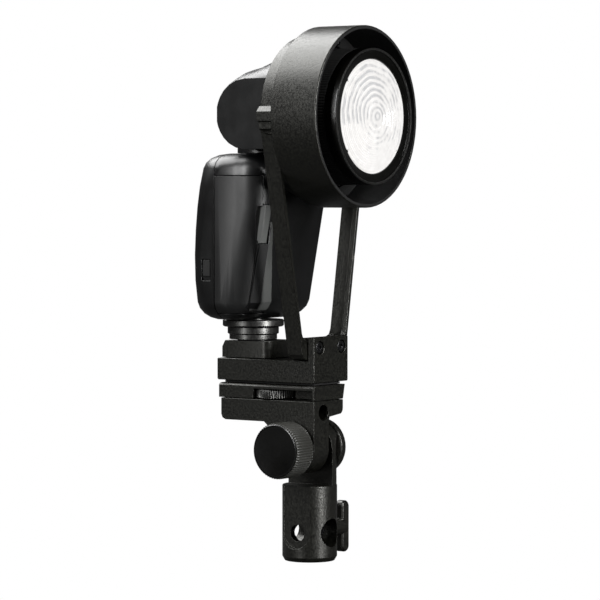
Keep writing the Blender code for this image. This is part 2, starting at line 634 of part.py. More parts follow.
def build_body_inside():
    """Capacitor, boards, battery contacts and the swivel bearing."""
    can = [(11.6, 142), (12.5, 143), (12.5, 199), (11.6, 200)]
    add("main_capacitor", turned(can, "Z", (18.0, 35.6, 0), 32), "capacitor_sleeve")
    add("power_board", box((-3.0, 24.0, 142.0), (-1.4, 47.5, 198.0)), "circuit_board")
    add("control_board", box((-24.0, 49.2, 143.0), (24.0, 50.8, 205.0)), "circuit_board")
    add("battery_contacts", soft_box((-10.8, 26.0, 150.0), (-7.6, 36.0, 172.0), 0.4), "brass")
    washer("swivel_bearing", "bright_steel", (8.5, 14.0), "Z", (0, SWIVEL_Y, 0), 219.6, 223.4, 32)


# ---- neck and head ----
def build_neck():
    """Swivel turret with the tongue that carries the head's tilt axle."""
    tilt_y, tilt_z = HEAD_TILT
    pivot = (0, SWIVEL_Y, 227)
    profile = [(7.9, 217.0), (7.9, 226.9), (16.0, 226.9), (16.0, 234.0)]
    neck = add("neck", turned(profile, "Z", (0, SWIVEL_Y, 0), 36), "flash_plastic", pivot=pivot)
    saddle = drill(TAIL_R + 0.6, "X", (0, tilt_y, tilt_z), -30, 30, 48)
    cut(neck, saddle, box((-20, 10, 227.5), (20, tilt_y, 240)))
    tongue = [(tilt_y + 4.5, 227.2), (tilt_y + 4.5, tilt_z)]
    tongue += arc((tilt_y, tilt_z), 4.5, 0, 180, 10) + [(tilt_y - 4.5, 227.2)]
    combine(neck, tool(prism(tongue, "X", -5.5, 5.5)), "UNION")
    cut(neck, drill(3.2, "X", (0, tilt_y, tilt_z), -10, 10, 20))


def head_ring(y, inset):
    """Outline of the rear head across the optical axis: round in front, flat-sided behind."""
    tilt_y = HEAD_TILT[0]
    low_z, mid_z = HEAD_TILT[1], AXIS_Z
    blend = min(1.0, max(0.0, (y - 3.3) / 4.0))
    reach = min(1.0, max(0.0, (y - tilt_y) / (TAIL_R - inset)))
    fade = math.sqrt(max(0.0, 1 - reach * reach))
    radius = HEAD_R - inset
    side = (TAIL_R - inset) * fade
    round_half = math.sqrt(HEAD_R ** 2 - TAIL_W ** 2) - inset / 2
    top_line = 37.5 - 0.459 * (min(y, tilt_y) - 3.3) - (low_z - mid_z) * blend
    top = (top_line - inset) * fade
    bottom = ((TAIL_R - inset) * blend + radius * (1 - blend)) * fade
    flat = TAIL_W - inset
    centre_z = mid_z + (low_z - mid_z) * blend
    half_side = side * blend + round_half * (1 - blend)
    shoulder = math.sqrt(radius ** 2 - flat ** 2)
    upper, lower, side_points = [], [], []
    for i in range(13):
        x = flat * math.cos(math.pi * i / 12)
        cap = (math.sqrt(radius ** 2 - x * x) - shoulder) / (radius - shoulder)
        upper.append((x, half_side + max(0.0, top - half_side) * cap))
        lower.append((-x, -half_side - max(0.0, bottom - half_side) * cap))
    for z in (half_side / 2, 0.0, -half_side / 2):
        bulge = (math.sqrt(radius ** 2 - z * z) - flat) * (1 - blend)
        side_points.append((-flat - bulge, z))
    outline = upper + side_points + lower + [(-x, z) for x, z in reversed(side_points)]
    return [Vector((x, y, centre_z + z)) for x, z in outline]


def build_head_rear():
    """Rear head shell, one open bag with a wall, slotted for the neck's tongue."""
    tilt_y, tilt_z = HEAD_TILT
    ahead = [3.4, 5.4, 7.4, 14.0]
    angles = [0, 18, 34, 48, 60, 70, 78]
    outer = [head_ring(y, 0.0) for y in ahead]
    outer += [head_ring(tilt_y + TAIL_R * math.sin(math.radians(a)), 0.0) for a in angles]
    inner_r = TAIL_R - WALL
    inner = [head_ring(y, WALL) for y in ahead]
    inner += [head_ring(tilt_y + inner_r * math.sin(math.radians(a)), WALL) for a in angles]
    shell = add("head_rear_shell", skin(list(reversed(outer)) + inner), "flash_plastic",
                pivot=(0, tilt_y, tilt_z), sharp=35)
    cut(shell, box((-6.0, 12.5, 222), (6.0, 33.0, 240)),
        drill(3.2, "X", (0, tilt_y, tilt_z), -31.0, 31.0, 20))


def build_head_front():
    """Barrel, zoom ring, bezel and lens."""
    centre = (0, 0, AXIS_Z)
    pivot = (0, *HEAD_TILT)
    barrel = [(HEAD_R, 3.1), (HEAD_R, -21.3), (35.1, -21.3), (35.1, -36.0), (33.3, -36.0), (33.3, 3.1)]
    add("head_barrel", turned(barrel, "Y", centre, 56, hole=True), "flash_plastic", pivot=pivot)
    rows = [(36.9, -35.7, False), (37.4, -35.1, True), (37.4, -22.2, True), (36.9, -21.6, False)]
    zoom = add("zoom_ring", ridged(rows, 48, 0.4, "Y", centre), "rubber", pivot=centre)
    cut(zoom, drill(35.4, "Y", centre, -40, -20, 48))
    bezel = [(HEAD_R, -36.3), (HEAD_R, -42.7), (36.8, -43.5), (31.3, -43.5), (31.3, -41.2), (33.4, -41.2),
             (33.4, -36.3)]
    add("bezel", turned(bezel, "Y", centre, 56, hole=True), "anodised", pivot=pivot)
    dome = [(33.1, -38.6), (33.1, -40.9), (31.0, -40.9), (30.4, -42.2), (22.0, -43.6), (12.0, -44.7),
            (2.0, -45.2)]
    add("front_lens", turned(dome, "Y", centre, 48), "lens_glass", pivot=pivot)


def build_light_engine():
    """Reflector, flash tube and their sliding carriage, tilt axle and focus LED."""
    centre = (0, 0, AXIS_Z)
    bowl = [(9.0, -11.6), (14.0, -13.4), (21.0, -19.0), (28.0, -29.8), (29.2, -29.8), (22.2, -18.0),
            (14.8, -12.2), (9.0, -10.2)]
    add("reflector", turned(bowl, "Y", centre, 32, hole=True), "reflector", pivot=centre)
    tube = turned([(1.6, -12.5), (2.4, -11.5), (2.4, 11.5), (1.6, 12.5)], "X", (0, -18.0, AXIS_Z), 16)
    add("flash_tube", tube, "tube_glass", pivot=centre)
    plate = [(33.0, -9.4), (33.0, -7.6), (8.0, -7.6), (8.0, -9.4)]
    carriage = add("zoom_carriage", turned(plate, "Y", centre, 40, hole=True), "flash_plastic", centre)
    cut(carriage, box((-4, -20, 262), (4, 0, 290)))
    led = soft_box((-5, -36.0, AXIS_Z - 31.4), (5, -34.6, AXIS_Z - 30.0), 0.3)
    add("modelling_led", led, "circuit_board", pivot=(0, *HEAD_TILT))
    axle = turned([(2.5, -30.6), (2.9, -30.2), (2.9, 30.2), (2.5, 30.6)], "X", (0, *HEAD_TILT), 20)
    add("tilt_axle", axle, "bright_steel", pivot=(0, *HEAD_TILT))


build_stand_adapter()
build_tilt_joint()
build_stand_screw()
build_tilt_bracket()
build_clamp()
build_base_slab()
build_arm_frame()
build_frame_screws()
build_front_ring()
build_shoe()
build_foot()
build_body_shells()
build_front_fittings()
build_rear_controls()
build_body_inside()
build_neck()
build_head_rear()
build_head_front()
build_light_engine()
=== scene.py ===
"""Looks of the round-head flash in its ring adapter frame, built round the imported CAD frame.

The light faces -Y and +Z is up. Pieces built here from profiles are in millimetres and become metres
in stand_in; the frame's boxes, the carried-over meshes and the stage are in metres.
"""
import json
import math

import bmesh
import bpy
from mathutils import Matrix, Vector


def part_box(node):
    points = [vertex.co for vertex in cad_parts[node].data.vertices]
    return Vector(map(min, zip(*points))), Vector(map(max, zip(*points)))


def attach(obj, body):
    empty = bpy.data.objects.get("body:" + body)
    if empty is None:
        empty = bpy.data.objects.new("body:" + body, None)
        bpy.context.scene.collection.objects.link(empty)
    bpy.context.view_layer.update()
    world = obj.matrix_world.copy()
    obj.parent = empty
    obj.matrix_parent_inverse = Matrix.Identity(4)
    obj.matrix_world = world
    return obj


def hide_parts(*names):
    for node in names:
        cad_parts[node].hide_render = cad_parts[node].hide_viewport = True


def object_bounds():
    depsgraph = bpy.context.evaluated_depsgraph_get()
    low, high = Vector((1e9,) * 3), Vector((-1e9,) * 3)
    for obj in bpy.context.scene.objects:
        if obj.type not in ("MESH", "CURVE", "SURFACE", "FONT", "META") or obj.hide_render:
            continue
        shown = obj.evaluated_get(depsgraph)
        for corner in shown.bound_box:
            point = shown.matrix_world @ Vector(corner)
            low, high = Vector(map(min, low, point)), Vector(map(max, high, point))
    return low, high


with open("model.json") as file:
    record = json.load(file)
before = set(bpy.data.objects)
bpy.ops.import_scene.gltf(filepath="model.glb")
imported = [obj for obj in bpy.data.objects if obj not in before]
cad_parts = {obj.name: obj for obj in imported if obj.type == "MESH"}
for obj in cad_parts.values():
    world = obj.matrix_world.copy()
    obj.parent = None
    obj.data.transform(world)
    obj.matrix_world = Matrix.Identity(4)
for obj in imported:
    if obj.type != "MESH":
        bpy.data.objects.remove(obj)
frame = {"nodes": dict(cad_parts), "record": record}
cad_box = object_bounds()

MM = 0.001
MERGE = 2e-6                   # metres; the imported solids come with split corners
LENS_AXIS = (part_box("front_lens")[0].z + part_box("front_lens")[1].z) / 2
NODE_BODY = {node: body for body, nodes in frame["record"]["behaviour"]["bodies"].items() for node in nodes}

FLAT_ANGLE = 0.7               # degrees; faces this close to level are joined
PLAIN_EDGE = 0.12              # width of a rounded edge in millimetres, unless named below
EDGE_WIDTH = {
    "base_slab": 0.35, "tilt_bracket": 0.40, "clamp_plate": 0.30, "arm_frame": 0.25, "shoe_block": 0.30,
    "body_rear_cover": 0.22, "stand_adapter": 0.15, "stand_screw_wing": 0.3, "tilt_disc": 0.3,
    "battery_release": 0.35, "head_rear_shell": 0.25, "neck": 0.2, "lock_ring": 0.2, "foot": 0.2,
}
PLAIN_SHARP = 30               # degrees; steeper corners stay crisp
SHARP = {"head_rear_shell": 18, "battery_release": 15}
LOOK = {                       # nodes whose look is not their slot's
    "battery_release": "key_grey", "lock_ring": "turned_black", "foot": "turned_black",
    "port_flap": "flap_rubber",
}
BUILT_APART = {                # nodes with a build function of their own
    "tilt_knob", "thumb_wheel", "zoom_ring", "bezel", "front_lens", "front_ring", "body_front_shell",
    "battery_pack", "focus_lamp_cover",
}

SIDE_REACH = 0.0142            # metres over which the body's left side curves
SIDE_FALL = 0.0016             # how far it has fallen away at the front corner
SIDE_CUTS = 6
LENS_REACH = 31.0              # radius at which the lens dome meets its flat rim
TAB_ANGLES = (38, 142, 218, 322)

CAMERA_PLACE = (-1.33123, -0.93218, 0.20704)
VIEW_AHEAD = (0.8166, 0.5759, -0.0381)
VIEW_RIGHT = (0.5763, -0.8172, 0.0)
FOCAL_MM = 175.3
SENSOR_MM = 36.0
LIGHTS = (                     # name, place, aim, size and watts
    ("top_box", (0.0, 1.0, 1.35), (0, 0, 0.2), (1.6, 1.2), 50.0),
    ("left_strip", (-1.40, 0.20, 0.72), (0, 0, 0.27), (0.16, 1.15), 21.0),
    ("front_strip", (-0.10, -1.45, 0.55), (0, 0, 0.25), (0.18, 1.3), 44.0),
    ("right_rim", (1.2, -0.5, 0.4), (0, 0, 0.2), (0.4, 1.0), 0.15),
)
FILL_STRENGTH = 0.035          # the surround as light; the camera sees it at 1
FLOOR_RADIUS = 9.0
FLOOR_DROP = 0.0005            # keeps the floor clear of the adapter's mouth


# ---- materials ----
class Nodes:
    """Short way to write a shader: each call makes one node and gives it back."""

    def __init__(self, name):
        self.material = bpy.data.materials.new(name)
        self.material.use_nodes = True
        self.tree = self.material.node_tree
        self.shader = self.tree.nodes["Principled BSDF"]
        self.place = self.tree.nodes.new("ShaderNodeTexCoord").outputs["Object"]

    def link(self, output, target):
        self.tree.links.new(output, target)

    def noise(self, scale, detail=2.0, stretch=(1, 1, 1), roughness=0.5):
        """Noise over the piece; the scale is per metre."""
        mapping = self.tree.nodes.new("ShaderNodeMapping")
        mapping.inputs["Scale"].default_value = stretch
        node = self.tree.nodes.new("ShaderNodeTexNoise")
        node.inputs["Scale"].default_value = scale
        node.inputs["Detail"].default_value = detail
        node.inputs["Roughness"].default_value = roughness
        self.link(self.place, mapping.inputs["Vector"])
        self.link(mapping.outputs["Vector"], node.inputs["Vector"])
        return node.outputs["Fac"]

    def cells(self, scale):
        """Distance to the nearest of many scattered points."""
        node = self.tree.nodes.new("ShaderNodeTexVoronoi")
        node.inputs["Scale"].default_value = scale
        self.link(self.place, node.inputs["Vector"])
        return node.outputs["Distance"]

    def rings(self, axis_z, scale, wobble):
        """Concentric bands round the optical axis at a height."""
        mapping = self.tree.nodes.new("ShaderNodeMapping")
        mapping.inputs["Location"].default_value = (0, 0, -axis_z)
        node = self.tree.nodes.new("ShaderNodeTexWave")
        node.wave_type = "RINGS"
        node.rings_direction = "Y"
        node.inputs["Scale"].default_value = scale
        node.inputs["Distortion"].default_value = wobble
        node.inputs["Detail"].default_value = 2.0
        node.inputs["Detail Scale"].default_value = 0.6
        self.link(self.place, mapping.inputs["Vector"])
        self.link(mapping.outputs["Vector"], node.inputs["Vector"])
        return node.outputs["Fac"]

    def times(self, first, second):
        """Product of two values."""
        node = self.tree.nodes.new("ShaderNodeMath")
        node.operation = "MULTIPLY"
        self.link(first, node.inputs[0])
        self.link(second, node.inputs[1])
        return node.outputs["Value"]

    def spread(self, value, low, high, start=0.3, end=0.7):
        """Map a value's middle range onto low to high."""
        node = self.tree.nodes.new("ShaderNodeMapRange")
        node.inputs["From Min"].default_value = start
        node.inputs["From Max"].default_value = end
        node.inputs["To Min"].default_value = low
        node.inputs["To Max"].default_value = high
        self.link(value, node.inputs["Value"])
        return node.outputs["Result"]

    def colour(self, value, dark, light, start=0.3, end=0.7):
        """Blend two colours by a value."""
        ramp = self.tree.nodes.new("ShaderNodeValToRGB")
        first, last = ramp.color_ramp.elements
        first.position, last.position = start, end
        first.color, last.color = (*dark, 1), (*light, 1)
        self.link(value, ramp.inputs["Fac"])
        return ramp.outputs["Color"]

    def bump(self, height, strength, distance, under=None):
        """Surface relief from a height."""
        node = self.tree.nodes.new("ShaderNodeBump")
        node.inputs["Strength"].default_value = strength
        node.inputs["Distance"].default_value = distance
        self.link(height, node.inputs["Height"])
        if under is not None:
            self.link(under, node.inputs["Normal"])
        return node.outputs["Normal"]

    def finish(self, colour=None, roughness=None, normal=None, **fixed):
        """Plug the maps into the shader and set its plain numbers."""
        for name, output in (("Base Color", colour), ("Roughness", roughness), ("Normal", normal)):
            if output is not None:
                self.link(output, self.shader.inputs[name])
        for name, value in fixed.items():
            self.shader.inputs[name.replace("_", " ")].default_value = value
        return self.material


def blasted_metal(name, dark, light, rough):
    """Bead-blasted, black anodised aluminium: fine speckle in colour and gloss, tiny pits."""
    n = Nodes(name)
    speckle = n.noise(850, detail=3.0, roughness=0.7)
    pits = n.bump(n.cells(1100), strength=0.08, distance=0.0002)
    relief = n.bump(speckle, strength=0.30, distance=0.0003, under=pits)
    colour = n.colour(speckle, dark, light, start=0.34, end=0.66)
    gloss = n.spread(speckle, rough - 0.07, rough + 0.06, start=0.38, end=0.62)
    return n.finish(colour, gloss, relief, Specular_Tint=(1.0, 1.0, 0.95, 1.0))


def moulded_plastic(name, dark, light, rough):
    """Satin moulded plastic: very fine spark texture, slight waviness, soft handling marks."""
    n = Nodes(name)
    spark = n.noise(3800)
    wave = n.noise(90)
    waviness = n.bump(wave, strength=0.025, distance=0.0003)
    relief = n.bump(spark, strength=0.25, distance=0.00008, under=waviness)
    colour = n.colour(n.noise(45, detail=4.0), dark, light)
    return n.finish(colour, n.spread(wave, rough - 0.02, rough + 0.03), relief, Specular_IOR_Level=0.5)


def soft_rubber(name, dark, light):
    """Matt rubber with a fine skin."""
    n = Nodes(name)
    grain = n.noise(2200, detail=4.0, roughness=0.65)
    colour = n.colour(n.noise(120, detail=3.0), dark, light)
    return n.finish(colour, n.spread(grain, 0.68, 0.86),
                    n.bump(grain, strength=0.35, distance=0.00012), Specular_IOR_Level=0.35)


def machined_metal(name, dark, light, rough):
    """Machined metal with a fine, even grain."""
    n = Nodes(name)
    grain = n.noise(1400, detail=3.0)
    return n.finish(n.colour(grain, dark, light), n.spread(grain, rough - 0.06, rough + 0.08),
                    n.bump(grain, strength=0.18, distance=0.00006), Metallic=1.0)


def fresnel_glass(name, axis_z):
    """Lens over a bright bowl, with painted glow: an emission stands in for the milky light through it,
    broken into wavering concentric arcs.
    """
    n = Nodes(name)
    ribs = n.noise(420, detail=3.0, stretch=(1.0, 0.3, 1.0))
    arcs = n.rings(axis_z, scale=95.0, wobble=5.0)
    patches = n.noise(60, detail=4.0, stretch=(1.0, 0.2, 1.0), roughness=0.6)
    broken = n.times(arcs, n.spread(patches, 0.05, 1.0, start=0.46, end=0.60))
    relief = n.bump(ribs, strength=0.35, distance=0.0003,
                    under=n.bump(arcs, strength=0.4, distance=0.0004))
    # painted glow: the lens gives off light of its own, paler at the centre of each band and greyer along
    # the broken arcs
    glow = n.colour(broken, (1.0, 0.98, 0.96), (0.60, 0.60, 0.61), start=0.12, end=0.90)
    n.link(glow, n.shader.inputs["Emission Color"])
    colour = n.colour(ribs, (0.06, 0.06, 0.06), (0.12, 0.12, 0.12))
    return n.finish(colour, n.spread(ribs, 0.08, 0.25), relief,
                    Emission_Strength=0.78, Coat_Weight=0.2, Coat_Roughness=0.06)


def clear_tube(name):
    """Quartz flash tube."""
    n = Nodes(name)
    streak = n.noise(500, stretch=(0.2, 1.0, 1.0))
    colour = n.colour(streak, (0.80, 0.80, 0.76), (0.96, 0.96, 0.93))
    return n.finish(colour, n.spread(streak, 0.05, 0.16),
                    n.bump(streak, strength=0.05, distance=0.0001), Transmission_Weight=0.6, IOR=1.46)


def board(name):
    """Circuit board lacquer over a weave."""
    n = Nodes(name)
    weave = n.noise(900, stretch=(1.0, 3.0, 1.0))
    colour = n.colour(weave, (0.010, 0.055, 0.026), (0.022, 0.110, 0.050))
    return n.finish(colour, n.spread(weave, 0.35, 0.6), n.bump(weave, strength=0.25, distance=0.0001))


def dark_screen(name):
    """Display behind a glossy window with a faint dust haze."""
    n = Nodes(name)
    dust = n.noise(700, detail=5.0)
    colour = n.colour(n.noise(60), (0.006, 0.008, 0.010), (0.014, 0.017, 0.020))
    return n.finish(colour, n.spread(dust, 0.05, 0.16),
                    n.bump(dust, strength=0.02, distance=0.00005), Coat_Weight=0.6)


FINISHES = {                   # recipe, dark and light colour, roughness where the recipe takes one
    "matt_black": (soft_rubber, (0.0015, 0.0015, 0.0015), (0.0030, 0.0030, 0.0030)),
    "knob_black": (moulded_plastic, (0.0006, 0.0006, 0.0004), (0.0016, 0.0016, 0.0013), 0.20),
    "anodised": (blasted_metal, (0.0, 0.0, 0.0), (0.0058, 0.0059, 0.0042), 0.36),
    "flash_plastic": (moulded_plastic, (0.0012, 0.0013, 0.0014), (0.0024, 0.0026, 0.0027), 0.34),
    "battery_plastic": (moulded_plastic, (0.0016, 0.0017, 0.0018), (0.0030, 0.0032, 0.0033), 0.44),
    "grey_plastic": (moulded_plastic, (0.050, 0.052, 0.050), (0.066, 0.068, 0.066), 0.42),
    # lighter plastic for the knob's knurled band: painted sheen for the light its flanks catch
    "knurl_painted_sheen": (moulded_plastic, (0.017, 0.017, 0.015), (0.025, 0.025, 0.022), 0.40),
    "key_grey": (moulded_plastic, (0.085, 0.088, 0.085), (0.105, 0.108, 0.105), 0.40),
    "flap_rubber": (soft_rubber, (0.0060, 0.0062, 0.0061), (0.0100, 0.0102, 0.0100)),
    "rubber": (soft_rubber, (0.0045, 0.0045, 0.0045), (0.0095, 0.0095, 0.0092)),
    "screw_steel": (machined_metal, (0.018, 0.018, 0.019), (0.060, 0.060, 0.062), 0.36),
    "turned_black": (machined_metal, (0.070, 0.070, 0.068), (0.120, 0.120, 0.116), 0.34),
    "bright_steel": (machined_metal, (0.42, 0.42, 0.43), (0.66, 0.66, 0.67), 0.28),
    "brass": (machined_metal, (0.44, 0.29, 0.10), (0.70, 0.50, 0.22), 0.32),
    "reflector": (machined_metal, (0.78, 0.78, 0.80), (0.92, 0.92, 0.94), 0.14),
    "capacitor_sleeve": (moulded_plastic, (0.012, 0.016, 0.040), (0.020, 0.028, 0.070), 0.36),
}
MATERIALS = {name: recipe(name, *values) for name, (recipe, *values) in FINISHES.items()}
MATERIALS.update({
    "lens_glass": fresnel_glass("lens_glass", LENS_AXIS),
    "tube_glass": clear_tube("tube_glass"),
    "circuit_board": board("circuit_board"),
    "screen": dark_screen("screen"),
})


# ---- meshes ----
def place(axis, centre, a, b, along):
    """A point at (a, b) across an axis and at a distance along it."""
    x, y, z = centre
    if axis == "X":
        return Vector((x + along, y + a, z + b))
    if axis == "Y":
        return Vector((x + a, y + along, z + b))
    return Vector((x + a, y + b, z + along))


def skin(bm, rings, closed=False):
    """Faces over rings of equal length, with end caps unless the rings close on themselves."""
    rows = [[bm.verts.new(point) for point in ring] for ring in rings]
    pairs = list(zip(rows, rows[1:]))
    if closed:
        pairs.append((rows[-1], rows[0]))
    else:
        bm.faces.new(rows[0])
        bm.faces.new(reversed(rows[-1]))
    count = len(rows[0])
    for low, high in pairs:
        for i in range(count):
            j = (i + 1) % count
            bm.faces.new((low[i], high[i], high[j], low[j]))
    bmesh.ops.recalc_face_normals(bm, faces=bm.faces)
    return bm


def turned(profile, axis, centre, steps=96, closed=True, groove=None):
    """Turn (radius, height) points about an axis; groove(turn, row) changes a point's radius."""
    rings = []
    for row, (radius, along) in enumerate(profile):
        ring = []
        for i in range(steps):
            turn = 2 * math.pi * i / steps
            r = radius - (groove(i, row) if groove else 0.0)
            ring.append(place(axis, centre, r * math.cos(turn), r * math.sin(turn), along))
        rings.append(ring)
    return skin(bmesh.new(), rings, closed)


def stand_in(node, bm, sharp, unit=MM, width=0.0, look=None):
    """Shown piece for a CAD node: rides on its body, with rounded edges and a finished material."""
    slot = frame["nodes"][node].data.materials[0].name.split(".")[0]
    name = node + "_finished"
    mesh = bpy.data.meshes.new(name)
    bmesh.ops.scale(bm, verts=bm.verts, vec=(unit,) * 3)
    bm.to_mesh(mesh)
    bm.free()
    if "custom_normal" in mesh.attributes:
        mesh.attributes.remove(mesh.attributes["custom_normal"])
    mesh.materials.clear()
    mesh.materials.append(MATERIALS[look or slot])
    mesh.shade_smooth()
    mesh.set_sharp_from_angle(angle=math.radians(sharp))
    piece = bpy.data.objects.new(name, mesh)
    bpy.context.scene.collection.objects.link(piece)
    if width:
        bevel = piece.modifiers.new("rounded_edges", "BEVEL")
        bevel.width = width * MM
        bevel.segments = 2
        bevel.limit_method = "ANGLE"
        bevel.angle_limit = math.radians(sharp)
        bevel.use_clamp_overlap = False
        bevel.harden_normals = True
    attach(piece, NODE_BODY[node])
    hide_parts(node)
    return piece


def merged(node):
    """The CAD node's mesh with its split corners joined and its flat faces whole."""
    bm = bmesh.new()
    bm.from_mesh(frame["nodes"][node].data)
    bmesh.ops.remove_doubles(bm, verts=bm.verts, dist=MERGE)
    bmesh.ops.dissolve_limit(bm, angle_limit=math.radians(FLAT_ANGLE), verts=bm.verts, edges=bm.edges)
    return bm


def refined(node, width):
    """Merged copy of a CAD node with rounded edges and smooth shading."""
    sharp = SHARP.get(node, PLAIN_SHARP)
    return stand_in(node, merged(node), sharp, unit=1.0, width=width, look=LOOK.get(node))


def curve_side(bm):
    """Let the body's left side fall away gently from the parting line to its front corner."""
    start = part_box("battery_pack")[1].y
    outer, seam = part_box("battery_pack")[0].x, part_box("battery_release")[0].x
    for step in range(1, SIDE_CUTS + 1):
        plane = Vector((0, start - SIDE_REACH * step / SIDE_CUTS, 0))
        everything = bm.verts[:] + bm.edges[:] + bm.faces[:]
        bmesh.ops.bisect_plane(bm, geom=everything, plane_co=plane, plane_no=(0, 1, 0))
    for vert in bm.verts:
        run = min(SIDE_REACH, max(0.0, start - vert.co.y))
        weight = min(1.0, max(0.0, (seam - vert.co.x) / (seam - outer)))
        vert.co.x += weight * SIDE_FALL * (run / SIDE_REACH) ** 2


def build_body_left():
    """Front shell and battery share the curved left side."""
    for node in ("body_front_shell", "battery_pack"):
        bm = merged(node)
        curve_side(bm)
        stand_in(node, bm, PLAIN_SHARP, unit=1.0, width=0.22)


def build_front_ring():
    """Open ring; its inside is matt black."""
    piece = refined("front_ring", width=0.30)
    piece.data.materials.append(MATERIALS["matt_black"])
    low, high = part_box("front_ring")
    inner = (high.x - low.x) / 2 - 1.5 * MM
    rear_face = high.y - 0.5 * MM
    for face in piece.data.polygons:
        from_axis = math.hypot(face.center.x, face.center.z - LENS_AXIS)
        if from_axis < inner and face.center.y < rear_face:
            face.material_index = 1


# ---- pieces with more detail than their CAD solids ----
def build_tilt_knob():
    """Turned knob with straight knurls and a plain, slightly dished face."""
    low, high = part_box("tilt_knob")
    axis = (0, 0, (low.z + high.z) / 2 / MM)
    radius = (high.z - low.z) / 2 / MM
    face, rear = low.x / MM, high.x / MM
    bore, hub = 3.4, 9.0
    rows = [(bore, face + 0.55), (radius - 4.0, face + 0.30), (radius - 2.2, face + 0.05),
            (radius - 1.5, face), (radius - 0.9, face + 0.4), (radius, face + 1.8), (radius, rear - 1.7),
            (radius - 0.25, rear - 1.3), (radius - 0.9, rear - 1.1), (hub, rear - 1.0), (hub, rear),
            (bore, rear)]
    rim_rows, knurls, knurl_depth = (5, 6), 62, 0.7

    def groove(i, row):
        return knurl_depth * ((1 + math.cos(math.pi * i / 4)) / 2) ** 2 if row in rim_rows else 0.0

    bm = turned(rows, "X", axis, knurls * 8, groove=groove)
    half_turn = 24                  # corners in half of the plug that fills the bore
    plug = []
    for along in (face + 0.55, face + 2.0):
        turns = [t / half_turn * math.pi for t in range(2 * half_turn)]
        plug.append([place("X", axis, bore * math.cos(t), bore * math.sin(t), along) for t in turns])
    skin(bm, plug)
    # the knurled band takes the lighter plastic, a painted sheen; the face keeps the dark one
    knob = stand_in("tilt_knob", bm, sharp=40, look="knurl_painted_sheen")
    knob.data.materials.append(MATERIALS["knob_black"])
    for polygon in knob.data.polygons:
        if polygon.center.x < low.x + 1.0 * MM:
            polygon.material_index = 1


def build_thumb_wheel():
    """Thumb wheel with fine straight knurls."""
    low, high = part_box("thumb_wheel")
    axis = ((low.x + high.x) / 2 / MM, (low.y + high.y) / 2 / MM, 0)
    radius = (high.y - low.y) / 2 / MM
    bottom, top = low.z / MM, high.z / MM
    bore = 3.6
    rows = [(bore, bottom), (radius - 0.7, bottom), (radius - 0.15, bottom + 0.35),
            (radius, bottom + 0.6), (radius, top - 0.6), (radius - 0.15, top - 0.35), (radius - 0.7, top),
            (bore, top)]
    rim_rows, knurls, knurl_depth = (3, 4), 52, 0.5

    def groove(i, row):
        return knurl_depth * (1 - abs(math.sin(math.pi * i / 6))) if row in rim_rows else 0.0

    wheel = turned(rows, "Z", axis, knurls * 6, groove=groove)
    stand_in("thumb_wheel", wheel, sharp=40, look="turned_black")


def build_zoom_ring():
    """Rubber zoom ring with rounded ribs."""
    low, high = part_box("zoom_ring")
    axis = (0, 0, (low.z + high.z) / 2 / MM)
    radius = (high.z - low.z) / 2 / MM
    front, rear = low.y / MM, high.y / MM
    bore = 35.4
    rows = [(bore, front), (radius - 0.6, front), (radius - 0.1, front + 0.5), (radius, front + 1.3),
            (radius, rear - 1.3), (radius - 0.1, rear - 0.5), (radius - 0.6, rear), (bore, rear)]
    rim_rows, ribs, rib_depth = (3, 4), 150, 0.22

    def groove(i, row):
        return rib_depth * (1 + math.cos(math.pi * i / 4)) / 2 if row in rim_rows else 0.0

    stand_in("zoom_ring", turned(rows, "Y", axis, ribs * 8, groove=groove), sharp=50)


def build_bezel():
    """Front bezel: lighter outer lip, sunk face and four small tabs over the lens."""
    low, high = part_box("bezel")
    axis = (0, 0, (low.z + high.z) / 2 / MM)
    radius = (high.x - low.x) / 2 / MM
    front, rear = low.y / MM, high.y / MM
    rows = [(33.4, rear), (radius, rear), (radius, front + 0.8), (radius - 0.12, front + 0.4),
            (radius - 0.45, front + 0.08), (radius - 0.9, front), (radius - 1.25, front + 0.12),
            (radius - 1.45, front + 0.45), (radius - 1.5, front + 1.0), (32.0, front + 1.15),
            (31.6, front + 1.25), (31.3, front + 1.6), (31.3, front + 2.3), (33.4, front + 2.3)]
    bm = turned(rows, "Y", axis, 128)
    for angle in TAB_ANGLES:
        turn = math.radians(angle)
        along = Vector((math.cos(turn), 0, math.sin(turn)))
        side = Vector((-math.sin(turn), 0, math.cos(turn)))
        rings = []
        for y, reach, half in ((front + 1.5, 29.9, 0.8), (front + 2.2, 29.6, 1.1)):
            base = Vector(axis) + Vector((0, y, 0))
            root, tip = base + along * 31.5, base + along * reach
            rings.append([root - side * half, root + side * half,
                          tip + side * half * 0.6, tip - side * half * 0.6])
        skin(bm, rings)
    bezel = stand_in("bezel", bm, sharp=30, look="knob_black")
    bezel.data.materials.append(MATERIALS["turned_black"])
    for polygon in bezel.data.polygons:
        from_axis = math.hypot(polygon.center.x, polygon.center.z - LENS_AXIS)
        if from_axis > (radius - 1.4) * MM and polygon.center.y < low.y + 0.5 * MM:
            polygon.material_index = 1


def lens_height(radius, flat, crown):
    """How far the lens dome stands at a radius."""
    reach = radius / LENS_REACH
    return flat + (crown - flat) * (1 - reach * reach)


def build_front_lens():
    """Fresnel lens: a smooth centre inside rings of sloped facets on a shallow dome."""
    low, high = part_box("front_lens")
    axis = (0, 0, (low.z + high.z) / 2 / MM)
    crown, rear = low.y / MM + 0.3, high.y / MM
    flat = crown + 3.2
    rows = [(33.0, rear), (33.0, rear - 2.2), (LENS_REACH, rear - 2.25), (30.9, flat + 0.3)]
    radius = 30.6
    while radius > 7.0:
        pitch = 0.85 + radius * 0.018
        rows.append((radius, lens_height(radius, flat, crown) - 0.30))
        radius -= pitch
        rows.append((radius + 0.08, lens_height(radius, flat, crown) + 0.22))
    for step in (6.4, 4.4, 2.2, 0.4):
        rows.append((step, lens_height(step, flat, crown) - 0.25))
    stand_in("front_lens", turned(rows, "Y", axis, 128, closed=False), sharp=12)


